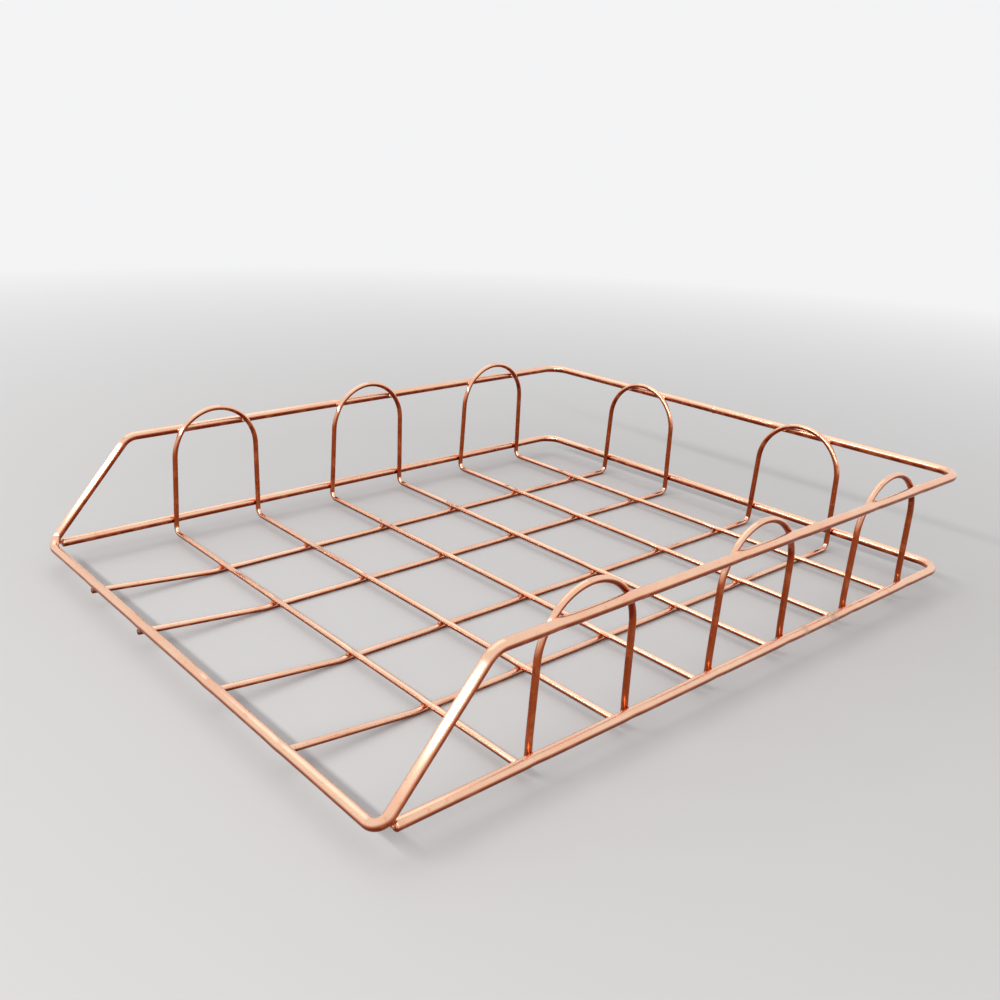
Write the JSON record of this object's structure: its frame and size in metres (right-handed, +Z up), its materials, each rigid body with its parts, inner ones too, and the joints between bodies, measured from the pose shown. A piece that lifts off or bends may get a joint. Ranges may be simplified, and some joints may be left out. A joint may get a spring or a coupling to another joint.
{
  "type": "letter tray",
  "caption": "Stackable letter tray of copper-plated round wire: open front with slanted side risers, wire grid base, and arches up the sides and back that stand proud of the rim.",
  "frame": {"origin": "on the table, in the middle of the tray's outline", "axes": "+Z up, +Y to the tray's closed back, -Y to its open front, +X to its right seen from the front"},
  "size_m": [0.254, 0.3293, 0.065],
  "materials": {
    "copper_plate": "bright polished copper plate over drawn steel wire",
    "weld_copper": "copper plate over the rough, darker spot welds"
  },
  "bodies": {
    "root": {"rim_loop": "copper_plate", "base_frame": "copper_plate", "cross_loop_front": "copper_plate", "cross_loop_middle": "copper_plate", "cross_loop_rear": "copper_plate", "hairpin_left": "copper_plate", "hairpin_right": "copper_plate", "weld_grid_1_1": "weld_copper", "weld_grid_1_2": "weld_copper", "weld_grid_1_3": "weld_copper", "weld_grid_1_4": "weld_copper", "weld_grid_2_1": "weld_copper", "weld_grid_2_2": "weld_copper", "weld_grid_2_3": "weld_copper", "weld_grid_2_4": "weld_copper", "weld_grid_3_1": "weld_copper", "weld_grid_3_2": "weld_copper", "weld_grid_3_3": "weld_copper", "weld_grid_3_4": "weld_copper", "weld_grid_4_1": "weld_copper", "weld_grid_4_2": "weld_copper", "weld_grid_4_3": "weld_copper", "weld_grid_4_4": "weld_copper", "weld_grid_5_1": "weld_copper", "weld_grid_5_2": "weld_copper", "weld_grid_5_3": "weld_copper", "weld_grid_5_4": "weld_copper", "weld_grid_6_1": "weld_copper", "weld_grid_6_2": "weld_copper", "weld_grid_6_3": "weld_copper", "weld_grid_6_4": "weld_copper", "weld_rim_left_1": "weld_copper", "weld_rim_left_2": "weld_copper", "weld_rim_left_3": "weld_copper", "weld_rim_left_4": "weld_copper", "weld_rim_left_5": "weld_copper", "weld_rim_left_6": "weld_copper", "weld_rim_right_1": "weld_copper", "weld_rim_right_2": "weld_copper", "weld_rim_right_3": "weld_copper", "weld_rim_right_4": "weld_copper", "weld_rim_right_5": "weld_copper", "weld_rim_right_6": "weld_copper", "weld_rim_back_1": "weld_copper", "weld_rim_back_2": "weld_copper", "weld_rim_back_3": "weld_copper", "weld_rim_back_4": "weld_copper", "weld_corner_left": "weld_copper", "weld_corner_right": "weld_copper"}
  },
  "joints": []
}
